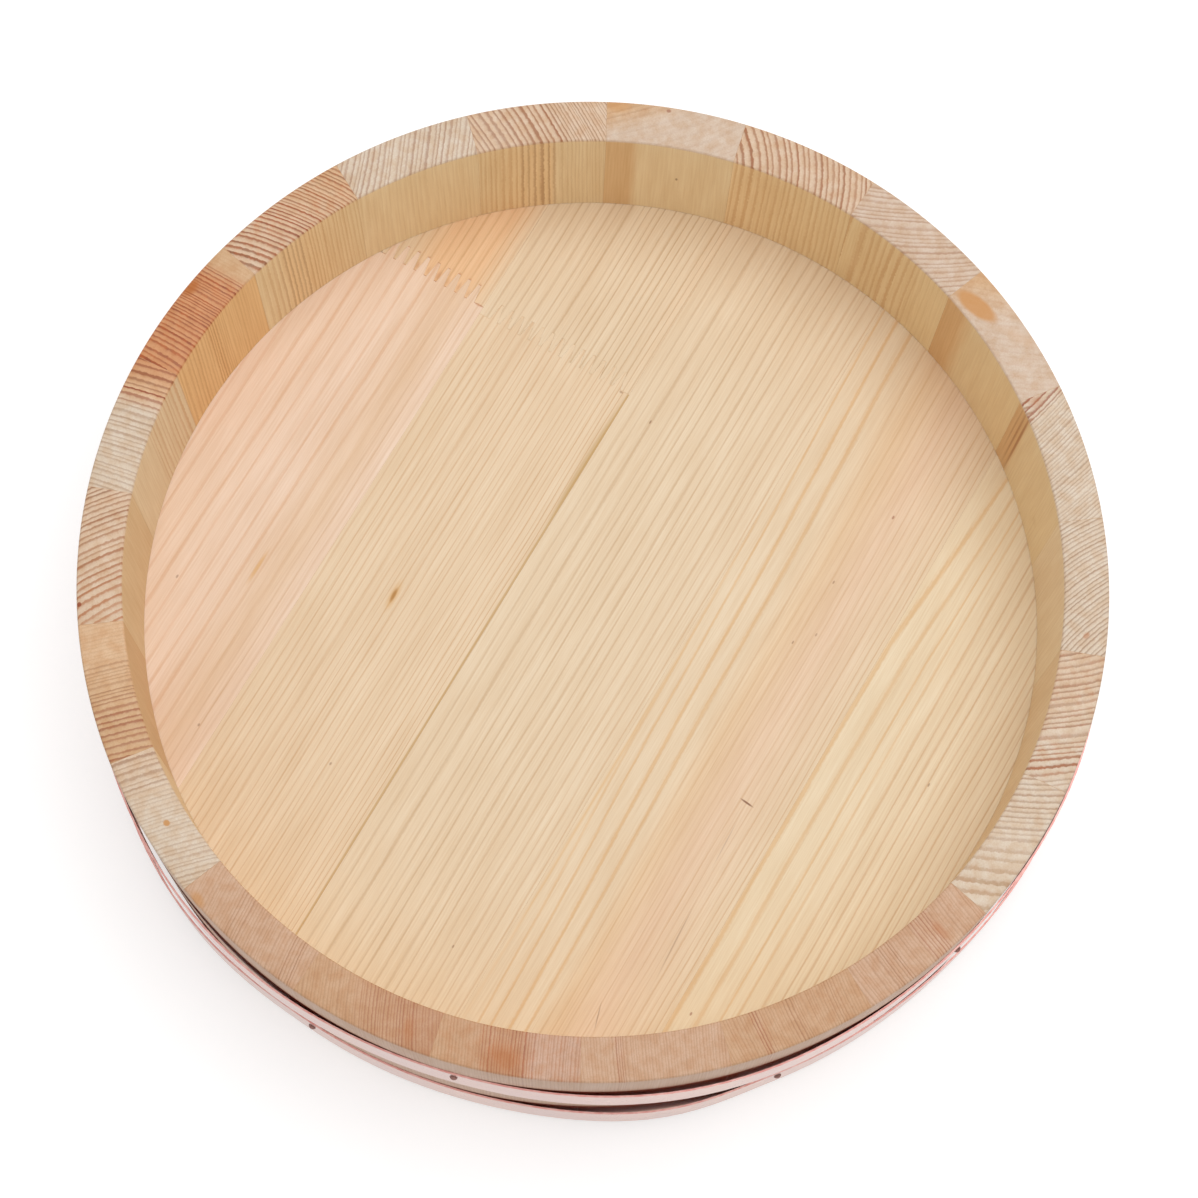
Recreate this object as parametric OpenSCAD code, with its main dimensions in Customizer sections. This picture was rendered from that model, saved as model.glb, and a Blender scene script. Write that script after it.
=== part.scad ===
// Hangiri: a round wooden tub for dressing sushi rice.
// Tapered staves are glued edge to edge into a ring and turned inside and out.
// The floor is glued from long strips, two of them lengthened by finger joints,
// and sits in a groove (the croze) cut round the inside of the staves.
// Two copper hoops, lapped and nailed, bind the ring from outside.
// Millimetres, +Z up, origin on the ground at the middle of the foot.

/* [Tub] */
// Outer diameter across the rim
rim_d = 330; // [290:1:420]
// Height from the foot to the rim
tub_h = 78; // [70:1:110]

/* [Staves] */
// Number of staves in the ring
stave_count = 22; // [16:1:30]
// Direction of the first joint between staves, in degrees
stave_turn = 10.25; // [0:0.25:20]
// Thickness of the wall at the rim
rim_wall = 14.5; // [11:0.5:20]
// Inward lean of the outer face, in degrees
outer_lean = 2.9; // [0:0.1:5]
// Inward lean of the inner face, in degrees
inner_lean = 4; // [0:0.1:6]
// Softened edges of the rim
rim_round = 1; // [0.4:0.1:3]
// Bevel on the edges of the foot
foot_bevel = 1.5; // [0.5:0.1:3]
// Glue line between neighbouring staves
stave_glue = 0.1; // [0.05:0.05:0.5]

/* [Floor] */
// Depth of the floor below the rim
floor_drop = 44; // [34:0.5:52]
// Thickness of the floor
floor_t = 12; // [8:0.5:15]
// Thickness of the tongue round the floor, where it enters the groove
tongue_t = 7.5; // [4:0.5:8]
// Width of the bevel under the floor, just inside the wall
tongue_bevel = 6; // [3:0.5:14]
// Depth of the groove in the staves
groove_depth = 4.5; // [3:0.5:6]
// Clearance of the floor in its groove
groove_fit = 0.15; // [0.05:0.05:0.5]
// Direction across the boards, in degrees
floor_turn = -26.4; // [-90:0.2:90]
// Width of one floor strip
strip_w = 58.5; // [50:0.5:64]
// How far the middle strip lies off the centre
strip_shift = 1.7; // [-8:0.1:8]
// Glue line between neighbouring strips
strip_glue = 0.05; // [0.05:0.05:0.5]

/* [Finger joints] */
// Length of the edge strip beyond its finger joint, along its inner side
edge_back_len = 46.2; // [25:0.2:200]
// Length of the second strip beyond its finger joint, along its inner side
second_back_len = 73; // [25:0.2:250]
// Length of the fingers
finger_len = 6.4; // [4:0.2:12]
// Distance from one finger to the next
finger_pitch = 4; // [3:0.2:8]
// Width of a finger's blunt tip
finger_tip = 1; // [0.5:0.1:1.3]
// Width of the square shoulder beside the first finger
finger_shoulder = 3.6; // [1:0.1:10]
// Gap left at the fingers' tips, so that their sides meet first
finger_gap = 0.2; // [0.1:0.05:0.5]

/* [Hoops] */
// Height of both hoops
hoop_w = 18; // [10:0.5:20]
// Thickness of the copper strip
hoop_t = 0.6; // [0.4:0.1:1.5]
// Depth of the upper hoop's top edge below the rim
upper_hoop_drop = 20; // [8:0.5:24]
// Height of the lower hoop's bottom edge above the foot
lower_hoop_rise = 5.5; // [3:0.5:8]
// Clearance between a hoop and the wall where it is nailed
hoop_fit = 0.05; // [0.02:0.01:0.2]
// How far the upper hoop springs off the wall between two nails
upper_hoop_spring = 1.7; // [0:0.1:3]
// How far the lower hoop springs off the wall between two nails
lower_hoop_spring = 2.4; // [0:0.1:3]
// Where the upper hoop stands off most, as a share of the way between two nails
upper_hoop_crest = 0.47; // [0.25:0.01:0.75]
// Where the lower hoop stands off most, as a share of the way between two nails
lower_hoop_crest = 0.73; // [0.25:0.01:0.75]
// Direction of the hoops' lapped ends, in degrees
lap_turn = 52; // [0:1:359]
// Length of the lap
lap_len = 30; // [16:1:50]

/* [Nails] */
// Nails round each hoop, besides the two in its lap
nail_count = 6; // [3:1:6]
// Direction of the upper hoop's first nail, in degrees
upper_nail_turn = 258.2; // [0:0.1:359.9]
// Angle from one nail of the upper hoop to the next
upper_nail_angle = 60; // [50:0.1:60]
// Direction of the lower hoop's first nail, in degrees
lower_nail_turn = 240; // [0:1:359]
// Angle from one nail of the lower hoop to the next
lower_nail_angle = 55.3; // [50:0.1:60]
// Depth of the nails below a hoop's top edge
nail_drop = 5.5; // [4:0.5:8]
// Diameter of the shank
nail_d = 1.4; // [1:0.1:2]
// Length of the shank under the head
nail_len = 9; // [6:0.5:10]
// Diameter of the head
nail_head_d = 2.6; // [2.2:0.1:4]
// Height of the domed head
nail_head_h = 0.9; // [0.4:0.1:1.5]
// Clearance round the shank and under the head
nail_fit = 0.04; // [0.02:0.01:0.1]

/* [Hidden] */
stave_pitch = 360 / stave_count;
stave_names = [for (i = [1 : stave_count]) str("stave_", i < 10 ? "0" : "", i)];
board_names = [
    "floor_edge_front", "floor_edge_back", "floor_second_front", "floor_second_back",
    "floor_middle", "floor_fourth", "floor_far_edge"
];
$fn = 180;

degrees_per_mm = 360 / (PI * rim_d);
floor_top = tub_h - floor_drop;
floor_under = floor_top - floor_t;
tongue_under = floor_top - tongue_t;
upper_hoop_top = tub_h - upper_hoop_drop;
lower_hoop_top = lower_hoop_rise + hoop_w;
floor_r = inner_r(floor_top) + groove_depth - groove_fit;
// Strips side by side in the floor; the outermost two run on to the disc's edge
strip_count = 5;
lap_angle = lap_len * degrees_per_mm;
// Open slot left at the inner end of a lapped strip
lap_slot = hoop_t * degrees_per_mm;
// Depth to which the two layers of a lap are soldered into one
lap_solder = hoop_t / 10;
// Turn of one of the flats that make up a hoop, and how much further out than the middle of
// the flat its corners lie
hoop_flat = 2;
corner_reach = 1 / cos(hoop_flat / 2);
// Sides of the rim's softened edges
round_steps = 3;

stave_tint = "#dcc3a4";
board_tint = "#ecd2ae";
copper_tint = "#cfb7b4";
nail_tint = "#8c6250";

// Radius of the wall's outer and inner face at height z
function outer_r(z) = rim_d / 2 - (tub_h - z) * tan(outer_lean);
function inner_r(z) = rim_d / 2 - rim_wall - (tub_h - z) * tan(inner_lean);

// Points of a softened corner: a quarter turn about [x, z] starting at angle a
function soft_corner(x, z, a) = [
    for (i = [0 : round_steps])
        let (b = a + 90 * i / round_steps)
        [x + rim_round * cos(b), z + rim_round * sin(b)]
];

// Section of a stave, with the groove for the floor on its inner side
module stave_section() {
    groove_top = floor_top + groove_fit;
    groove_bottom = tongue_under - groove_fit;
    groove_r = inner_r(floor_top) + groove_depth;
    rim_z = tub_h - rim_round;
    polygon(concat(
        [
            [inner_r(0) + foot_bevel, 0],
            [outer_r(0) - foot_bevel, 0],
            [outer_r(foot_bevel), foot_bevel]
        ],
        soft_corner(outer_r(rim_z) - rim_round, rim_z, 0),
        soft_corner(inner_r(rim_z) + rim_round, rim_z, 90),
        [
            [inner_r(groove_top), groove_top],
            [groove_r, groove_top],
            [groove_r, groove_bottom],
            [inner_r(groove_bottom), groove_bottom],
            [inner_r(foot_bevel), foot_bevel]
        ]
    ));
}

// One stave: a wedge of the turned ring, with the holes of the nails driven into it
module stave(i) {
    glue_angle = stave_glue * degrees_per_mm;
    start = stave_turn + i * stave_pitch + glue_angle / 2;
    color(stave_tint)
    difference() {
        rotate([0, 0, start])
            rotate_extrude(angle = stave_pitch - glue_angle)
                stave_section();
        nail_holes_near(start + stave_pitch / 2, upper_hoop_top, upper_nail_turns());
        nail_holes_near(start + stave_pitch / 2, lower_hoop_top, lower_nail_turns());
    }
}

// Joint number i across the floor, counted from the edge with the finger joints
function joint_x(i) = strip_shift + (i - strip_count / 2) * strip_w;

// Half the disc's width at a distance a from its middle
function disc_half(a) = sqrt(pow(floor_r, 2) - pow(a, 2));

// Corners of whole fingers set out from x1 back towards x0, between heights low and high
function fingers(x0, x1, low, high) = [
    for (i = [0 : floor((x1 + finger_tip - x0) / finger_pitch) - 1])
        let (x = x1 - i * finger_pitch, flank = finger_pitch / 2 - finger_tip)
        each [
            [x, low],
            [x - flank, high],
            [x - flank - finger_tip, high],
            [x - 2 * flank - finger_tip, low]
        ]
];

// The floor as one disc, bevelled from below to the thin tongue that enters the groove
module floor_disc() {
    tongue_root = inner_r(tongue_under - groove_fit) - groove_fit;
    rotate_extrude()
        polygon([
            [0, floor_under],
            [tongue_root - tongue_bevel, floor_under],
            [tongue_root, tongue_under],
            [floor_r, tongue_under],
            [floor_r, floor_top],
            [0, floor_top]
        ]);
}

// The part of the floor disc that lies over a flat outline
module floor_piece() {
    color(board_tint)
    intersection() {
        floor_disc();
        rotate([0, 0, floor_turn])
            translate([0, 0, floor_under])
                linear_extrude(floor_t)
                    children();
    }
}

// A whole strip between joints i and i + 1
module strip_outline(i) {
    x0 = i == 0 ? -floor_r : joint_x(i) + strip_glue / 2;
    x1 = i == strip_count - 1 ? floor_r : joint_x(i + 1) - strip_glue / 2;
    translate([x0, -floor_r])
        square([x1 - x0, 2 * floor_r]);
}

// Strip i cut off along fingers about height y, keeping the length towards end_y
module cut_strip(i, y, end_y) {
    low = y - finger_len / 2;
    high = y + finger_len / 2;
    disc_edge = -disc_half(abs(y) + finger_len / 2);
    first_x = i == 0 ? disc_edge : max(disc_edge, joint_x(i));
    last_x = joint_x(i + 1);
    intersection() {
        strip_outline(i);
        polygon(concat(
            [[-floor_r, end_y], [last_x, end_y], [last_x, low]],
            fingers(first_x, last_x - finger_shoulder, low, high),
            [[-floor_r, low]]
        ));
    }
}

// Height of the finger joint that leaves a length back_len of strip i beyond it
function finger_joint_y(i, back_len) = disc_half(joint_x(i + 1)) - back_len;

// The length of a strip on this side of its finger joint
module front_outline(i, back_len) {
    cut_strip(i, finger_joint_y(i, back_len), -floor_r);
}

// The length of a strip beyond its finger joint, clear of the fingers' tips
module back_outline(i, back_len) {
    cut_strip(i, finger_joint_y(i, back_len) + finger_gap, floor_r);
}

module floor_edge_front() {
    floor_piece() front_outline(0, edge_back_len);
}

module floor_edge_back() {
    floor_piece() back_outline(0, edge_back_len);
}

module floor_second_front() {
    floor_piece() front_outline(1, second_back_len);
}

module floor_second_back() {
    floor_piece() back_outline(1, second_back_len);
}

module floor_middle() {
    floor_piece() strip_outline(2);
}

module floor_fourth() {
    floor_piece() strip_outline(3);
}

module floor_far_edge() {
    floor_piece() strip_outline(4);
}

// How far a hoop has sprung off the wall in direction a: not at all in its lap and where it is
// held, most at the crest between two nails, and less over a way shorter than the usual step
function sprung(a, held, step, spring, crest) =
    let (
        past = min([for (b = held) turn_on(b, a)]),
        ahead = min([for (b = held) if (turn_on(a, b) > 0) turn_on(a, b)]),
        way = pow(past / (past + ahead), ln(0.5) / ln(crest))
    )
    on_lap(a, 0) ? 0 : spring * min(1, (past + ahead) / step) * pow(sin(180 * way), 2);

// A hoop: one strip bent round the wall, held by its nails and springing off the wall
// between them, its outer end lapped over the inner one
module hoop(top, turns, step, spring, crest) {
    bottom = top - hoop_w;
    held = concat(turns, [lap_turn, lap_turn + lap_angle]);

    // Edge of the strip at the hoop's bottom, with one side set off the wall by offset
    function edge_point(a, offset) =
        (outer_r(bottom) + offset + sprung(a, held, step, spring, crest)) * corner_reach
        * [cos(a), sin(a)];

    // Outline of one layer of the strip from direction a to direction b
    module layer(a, b, offset, thickness) {
        flats = ceil((b - a) / hoop_flat);
        corners = [for (i = [0 : flats]) a + (b - a) * i / flats];
        polygon(concat(
            [for (i = [0 : flats]) edge_point(corners[i], offset + thickness)],
            [for (i = [flats : -1 : 0]) edge_point(corners[i], offset)]
        ));
    }

    color(copper_tint)
    difference() {
        translate([0, 0, bottom])
            linear_extrude(hoop_w, scale = outer_r(top) / outer_r(bottom)) {
                layer(lap_turn + lap_slot, lap_turn + 360, hoop_fit, hoop_t);
                layer(
                    lap_turn - lap_slot, lap_turn + lap_angle,
                    hoop_fit + hoop_t - lap_solder, hoop_t + lap_solder
                );
            }
        for (a = turns)
            nail_hole(top, a);
    }
}

module upper_hoop() {
    hoop(upper_hoop_top, upper_nail_turns(), upper_nail_angle, upper_hoop_spring, upper_hoop_crest);
}

module lower_hoop() {
    hoop(lower_hoop_top, lower_nail_turns(), lower_nail_angle, lower_hoop_spring, lower_hoop_crest);
}

// Directions of a hoop's nails: a round that leaves out the lap, and two that hold the lap
function nail_turns(first, step) = concat(
    [
        for (i = [0 : nail_count - 1])
            let (a = first + i * step)
            if (!on_lap(a, nail_head_d * degrees_per_mm)) a
    ],
    [lap_turn + lap_angle / 4, lap_turn + lap_angle * 3 / 4]
);
function upper_nail_turns() = nail_turns(upper_nail_turn, upper_nail_angle);
function lower_nail_turns() = nail_turns(lower_nail_turn, lower_nail_angle);

// Whether direction a lies on the lap or within a margin of its ends
function on_lap(a, margin) =
    abs(turn_between(a, lap_turn + lap_angle / 2)) < lap_angle / 2 + margin;

// Turn from direction b to direction a, between -180 and 180 degrees
function turn_between(a, b) = (a - b) - 360 * round((a - b) / 360);

// Turn from direction a on to direction b, going round from 0 to 360 degrees
function turn_on(a, b) = (b - a) - 360 * floor((b - a) / 360);

// Puts a nail on the face of a hoop, square to the wall, its head's seat at the origin, clear
// of the corners between the hoop's flats. On the lap the seat is one strip higher.
module at_nail(top, a) {
    z = top - nail_drop;
    seat = hoop_fit + hoop_t * (on_lap(a, 0) ? 2 : 1);
    rotate([0, 0, a])
        translate([(outer_r(z) + seat) * corner_reach, 0, z])
            rotate([0, 90 + outer_lean, 0])
                children();
}

module nail_hole(top, a) {
    at_nail(top, a)
        translate([0, 0, -nail_len])
            cylinder(h = nail_len + nail_head_h, d = nail_d + 2 * nail_fit, $fn = 24);
}

// The holes that fall within a stave's half width of direction middle
module nail_holes_near(middle, top, turns) {
    for (a = turns)
        if (abs(turn_between(a, middle)) < stave_pitch / 2 + nail_d * degrees_per_mm)
            nail_hole(top, a);
}

// A nail with a domed head, its point stopping short of the bottom of its hole
module nail(top, a) {
    head_r = nail_head_d / 2;
    dome_r = (head_r * head_r + nail_head_h * nail_head_h) / (2 * nail_head_h);
    shank = nail_len - nail_fit;
    at_nail(top, a) {
        intersection() {
            translate([0, 0, nail_fit])
                cylinder(h = nail_head_h, r = head_r, $fn = 32);
            translate([0, 0, nail_fit + nail_head_h - dome_r])
                sphere(r = dome_r, $fn = 48);
        }
        translate([0, 0, -shank])
            cylinder(h = shank + nail_fit + nail_head_h / 2, d = nail_d, $fn = 24);
    }
}

module upper_nails() {
    color(nail_tint)
    for (a = upper_nail_turns())
        nail(upper_hoop_top, a);
}

module lower_nails() {
    color(nail_tint)
    for (a = lower_nail_turns())
        nail(lower_hoop_top, a);
}

for (i = [0 : stave_count - 1])
    stave(i);
floor_edge_front();
floor_edge_back();
floor_second_front();
floor_second_back();
floor_middle();
floor_fourth();
floor_far_edge();
upper_hoop();
lower_hoop();
upper_nails();
lower_nails();
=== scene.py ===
import math

import bmesh
import bpy
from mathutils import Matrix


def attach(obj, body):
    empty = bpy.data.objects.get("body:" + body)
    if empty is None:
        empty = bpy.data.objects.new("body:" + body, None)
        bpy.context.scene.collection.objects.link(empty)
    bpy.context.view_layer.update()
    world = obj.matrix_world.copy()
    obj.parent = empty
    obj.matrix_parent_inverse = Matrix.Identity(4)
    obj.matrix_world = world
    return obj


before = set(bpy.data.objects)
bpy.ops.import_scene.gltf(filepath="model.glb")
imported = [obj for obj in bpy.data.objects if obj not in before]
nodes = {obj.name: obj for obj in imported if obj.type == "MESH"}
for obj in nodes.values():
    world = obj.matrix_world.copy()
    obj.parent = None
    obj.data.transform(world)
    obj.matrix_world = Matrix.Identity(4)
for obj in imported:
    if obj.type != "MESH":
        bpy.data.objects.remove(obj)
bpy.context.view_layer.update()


# The view and the studio. The tub stands on a white table in soft light: white walls all round,
# and one broad softbox high up at the back right, turned towards the tub.
scene = bpy.context.scene
scene.view_settings.view_transform = "Standard"

# The camera looks steeply down into the tub through a long lens, from a little under 1.3 m away.
camera = bpy.data.objects.new("camera", bpy.data.cameras.new("camera"))
scene.collection.objects.link(camera)
camera.data.lens = 113.15
camera.data.sensor_width = 36
camera.location = (0, -0.3788, 1.2193)
camera.rotation_euler = [math.radians(a) for a in (17.901, -1.244, 3.529)]
scene.camera = camera


def linear(code):
    """The linear colour of an sRGB hex code, with an alpha of 1."""
    parts = [int(code[i:i + 2], 16) / 255 for i in (1, 3, 5)]
    return [p / 12.92 if p <= 0.04045 else ((p + 0.055) / 1.055) ** 2.4 for p in parts] + [1]


def add(tree, kind, links=None, out=0, stops=None, **settings):
    """Adds a node with its settings. Each socket is given a value or the output that feeds it, and
    a colour ramp its stops, each a place from 0 to 1 with a grey level or a colour."""
    node = tree.nodes.new(kind)
    for name, value in settings.items():
        setattr(node, name, value)
    for socket, source in (links or {}).items():
        if isinstance(source, bpy.types.NodeSocket):
            tree.links.new(source, node.inputs[socket])
        else:
            node.inputs[socket].default_value = source
    if stops:
        ramp = node.color_ramp.elements
        ramp.remove(ramp[1])
        for n, (place, level) in enumerate(stops):
            stop = ramp[0] if n == 0 else ramp.new(place)
            stop.position = place
            stop.color = level if isinstance(level, (list, tuple)) else (level, level, level, 1)
    return node.outputs[out] if node.outputs else node


def new_tree(block):
    """The empty node tree of a new material or world."""
    block.use_nodes = True
    block.node_tree.nodes.clear()
    return block.node_tree


def seen_itself(tree):
    """1 where the camera or a polished surface sees the thing itself, 0 where it sheds light."""
    paths = add(tree, "ShaderNodeLightPath", out="Is Camera Ray").node.outputs
    seen = add(tree, "ShaderNodeMath", {0: paths["Is Camera Ray"], 1: paths["Is Glossy Ray"]},
               operation="MAXIMUM")
    return add(tree, "ShaderNodeMath", {0: seen, 1: paths["Is Transmission Ray"]},
               operation="MAXIMUM")


def new_piece(name, solid, material):
    """Makes a finished bmesh into an object at the origin, with its material."""
    mesh = bpy.data.meshes.new(name)
    solid.to_mesh(mesh)
    solid.free()
    mesh.materials.append(material)
    piece = bpy.data.objects.new(name, mesh)
    scene.collection.objects.link(piece)
    return piece


# The walls look white, and shed as much light as leaves the pale wood below white.
wall_light = 0.67
walls = bpy.data.worlds.new("white studio walls")
tree = new_tree(walls)
level = add(tree, "ShaderNodeMapRange", {
    "Value": seen_itself(tree), "To Min": wall_light, "To Max": 1.0})
air = add(tree, "ShaderNodeBackground", {"Color": linear("#ffffff"), "Strength": level})
add(tree, "ShaderNodeOutputWorld", {"Surface": air})
scene.world = walls

# Board painted a flat white, without gloss. Where it is seen itself it is lifted to white, and it
# keeps the tub's shadow.
table_lift = 0.52
white_board = bpy.data.materials.new("white board")
tree = new_tree(white_board)
paint = add(tree, "ShaderNodeBsdfDiffuse", {"Color": linear("#d7d7d7")})
lift = add(tree, "ShaderNodeMath", {0: seen_itself(tree), 1: table_lift}, operation="MULTIPLY")
glow = add(tree, "ShaderNodeEmission", {"Color": linear("#ffffff"), "Strength": lift})
both = add(tree, "ShaderNodeAddShader", {0: paint, 1: glow})
add(tree, "ShaderNodeOutputMaterial", {"Surface": both})

table_reach = 3
solid = bmesh.new()
bmesh.ops.create_grid(solid, x_segments=1, y_segments=1, size=table_reach)
table = new_piece("table", solid, white_board)

softbox = bpy.data.objects.new("softbox", bpy.data.lights.new("softbox", "AREA"))
scene.collection.objects.link(softbox)
softbox.data.shape = "DISK"
softbox.data.size = 1.8
softbox.data.energy = 15
softbox.location = (0.5, 0.35, 1.9)
softbox.rotation_euler = softbox.location.to_track_quat("Z", "Y").to_euler()


# The staves: 22 wedge-shaped boards of pine, stood on end in a ring and glued edge to edge, then
# turned round inside and out and sanded. The rim shows their end grain, each board with its growth
# rings at its own slant, and the walls show the grain running upright. Sizes are in mm from here on.
mm = 0.001
wood_tones = {
    "pearl": "#e5d6c4", "blush": "#dfcbb9", "cream": "#e4cdb5", "rose": "#e6cdb4",
    "apricot": "#e5c19c", "amber": "#dca173", "tan": "#dcb891", "clay": "#d5ae8b",
    "sand grey": "#d9b599", "russet": "#cda180", "pink": "#d8b49e", "outside": "#dabca7",
    "grey": "#946a48", "mauve": "#965f42", "sand": "#aa7f4c", "brown": "#8c5224",
    "orange": "#b5641c", "red": "#923f12", "rust": "#9a5a28", "knot": "#7c4420", "resin": "#cb8e4c",
    "olive": "#eed3a3", "straw": "#f0d8ad", "honey": "#f4d5a4", "peach": "#ecd3a6",
    "ochre": "#efc68e", "dun": "#e6cba2", "pale peach": "#ecd5af", "pale dun": "#e7d0ac",
    "fawn": "#dfc196", "bark": "#dfb682", "toast": "#d6b082", "tawny": "#e2bd8b",
    "olive line": "#c0924e", "honey line": "#c07f38", "bark line": "#985823",
}

# Edges that bend by less than this many degrees are shaded smooth, and the rest stay sharp. The
# triangles of a CAD solid are loose, so corners less than a thousandth of a mm apart are joined.
sharpest_round = 25
same_corner = 1e-6
smoothing = bpy.data.node_groups.new("smooth by angle", "GeometryNodeTree")
smoothing.is_modifier = True
smoothing.interface.new_socket("Geometry", in_out="INPUT", socket_type="NodeSocketGeometry")
smoothing.interface.new_socket("Geometry", in_out="OUTPUT", socket_type="NodeSocketGeometry")
loose = add(smoothing, "NodeGroupInput")
welded = add(smoothing, "GeometryNodeMergeByDistance", {"Geometry": loose, "Distance": same_corner})
rounded = add(smoothing, "GeometryNodeSetShadeSmooth", {0: welded, "Shade Smooth": True},
              domain="FACE")
bend = add(smoothing, "GeometryNodeInputMeshEdgeAngle")
sharp = add(smoothing, "FunctionNodeCompare", {0: bend, 1: math.radians(sharpest_round)},
            operation="GREATER_THAN")
edged = add(smoothing, "GeometryNodeSetShadeSmooth", {0: rounded, 1: sharp, "Shade Smooth": False},
            domain="EDGE")
add(smoothing, "NodeGroupOutput", {0: edged})


def finish_solid(name, material):
    """Shades a CAD solid smooth where its faces meet flatly, and gives it its material."""
    solid = nodes[name]
    solid.modifiers.new("smooth by angle", "NODES").node_group = smoothing
    solid.data.materials.clear()
    solid.data.materials.append(material)


def place_at(facing, out, aside, up):
    """A place in metres: out mm from the tub's middle in the direction of facing, in degrees, aside
    mm to the left of that, and up mm high."""
    heading = math.radians(facing)
    return ((out * math.cos(heading) - aside * math.sin(heading)) * mm,
            (out * math.sin(heading) + aside * math.cos(heading)) * mm, up * mm)


def rings_across(spacing, reach, middle, slant):
    """How many rings lie between a board's left edge and each of 28 even steps across it."""
    steps = 28
    rings = [0]
    for n in range(steps):
        x = middle + (2 * (n + 0.5) / steps - 1) * reach / math.cos(slant)
        apart = spacing[-1][1]
        for (x0, apart0), (x1, apart1) in zip(spacing, spacing[1:]):
            if x <= x1:
                apart = apart0 + (apart1 - apart0) * max(0, (x - x0) / (x1 - x0))
                break
        rings.append(rings[-1] + 2 * reach / steps / apart)
    return rings


def bend_grain(tree, board, grain, middle, sway):
    """Shifts the grain aside by so many mm at a low and a high place along the board. The shift is
    whole as far across the board as full, and has faded away at none."""
    low, high, low_shift, high_shift, full, none = sway
    along = add(tree, "ShaderNodeSeparateXYZ", {0: board}, out="Z")
    shift = add(tree, "ShaderNodeMapRange", {
        "Value": along, "From Min": low, "From Max": high, "To Min": low_shift, "To Max": high_shift})
    fade = add(tree, "ShaderNodeMapRange", {
        "Value": along.node.outputs["X"], "From Min": full - middle, "From Max": none - middle,
        "To Min": 1.0, "To Max": 0.0}, interpolation_type="SMOOTHSTEP")
    shift = add(tree, "ShaderNodeMath", {0: shift, 1: fade}, operation="MULTIPLY")
    shift = add(tree, "ShaderNodeCombineXYZ", {"X": shift})
    return add(tree, "ShaderNodeVectorMath", {0: grain, 1: shift}, operation="ADD")


def year_of_growth(tree, board, span, rings, side, seed, late_share, wobble):
    """The time of year at which the wood grew, from 0 to 1, and how much of it is late wood. The
    late wood builds up slowly and ends sharply, and is stronger in some years than in others. Some
    three years running are wider or narrower than the rest, and a ring's edge is ragged every
    1.4 mm."""
    total = rings[-1]
    years = add(tree, "ShaderNodeValToRGB", {0: span},
                stops=[(n / (len(rings) - 1), so_far / total) for n, so_far in enumerate(rings)])
    years = add(tree, "ShaderNodeMath", {0: years, 1: total * side, 2: seed}, operation="MULTIPLY_ADD")
    uneven = add(tree, "ShaderNodeTexNoise", {"W": years, "Scale": 0.37, "Detail": 1.0},
                 noise_dimensions="1D")
    ragged = add(tree, "ShaderNodeTexNoise", {"Vector": board, "Scale": 0.7, "Detail": 2.5})
    years = add(tree, "ShaderNodeMath", {0: uneven, 1: 1.1, 2: years}, operation="MULTIPLY_ADD")
    years = add(tree, "ShaderNodeMath", {0: ragged, 1: wobble, 2: years}, operation="MULTIPLY_ADD")
    season = add(tree, "ShaderNodeMath", {0: years}, operation="FRACT")
    late = add(tree, "ShaderNodeValToRGB", {0: season},
               stops=[(0, 0.7), (0.06, 0.0), (1 - 1.6 * late_share, 0.03), (1 - late_share, 0.25),
                      (1 - 0.6 * late_share, 1.0), (0.96, 1.0), (1, 0.7)])
    year = add(tree, "ShaderNodeMath", {0: years}, operation="FLOOR")
    growth = add(tree, "ShaderNodeTexWhiteNoise", {"W": year}, noise_dimensions="1D")
    growth = add(tree, "ShaderNodeMapRange", {"Value": growth, "To Min": 0.6, "To Max": 1.0})
    return season, add(tree, "ShaderNodeMath", {0: late, 1: growth}, operation="MULTIPLY")


def resin_in_end_grain(tree, board, season, end, pale, dark, strength, warmth):
    """Resin has soaked the end grain beside its late wood, in patches about 3 mm wide. The cut
    fibres take up the light unevenly. They are too fine to show, so this is drawn 4 mm wide."""
    resin = add(tree, "ShaderNodeTexNoise", {"Vector": board, "Scale": 0.3, "Detail": 3.0})
    resin = add(tree, "ShaderNodeMapRange", {"Value": resin, "From Min": 0.4, "From Max": 0.62})
    resin = add(tree, "ShaderNodeMath", {0: resin, 1: end}, operation="MULTIPLY")
    resin = add(tree, "ShaderNodeMath", {0: resin, 1: warmth}, operation="MULTIPLY")
    soaked = add(tree, "ShaderNodeValToRGB", {0: season},
                 stops=[(0, 0.5), (0.2, 0.0), (0.45, 0.06), (0.8, 0.6)])
    soaked = add(tree, "ShaderNodeMath", {0: soaked, 1: resin}, operation="MULTIPLY")
    soaked = add(tree, "ShaderNodeMath", {0: soaked, 1: strength}, operation="MULTIPLY")
    pale = add(tree, "ShaderNodeMix", {0: soaked, 6: pale, 7: linear("#dd9a62")}, out=2,
               data_type="RGBA")
    dark = add(tree, "ShaderNodeMix", {0: resin, 6: dark, 7: linear("#b4561a")}, out=2,
               data_type="RGBA")
    pores = add(tree, "ShaderNodeTexNoise", {"Vector": board, "Scale": 0.25, "Detail": 3.0})
    pores = add(tree, "ShaderNodeValToRGB", {0: pores},
                stops=[(0.38, linear("#f6ece1")), (0.6, linear("#ffffff"))])
    pale = add(tree, "ShaderNodeMix", {0: end, 6: pale, 7: pores}, out=2,
               data_type="RGBA", blend_type="MULTIPLY")
    return pale, dark


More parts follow.
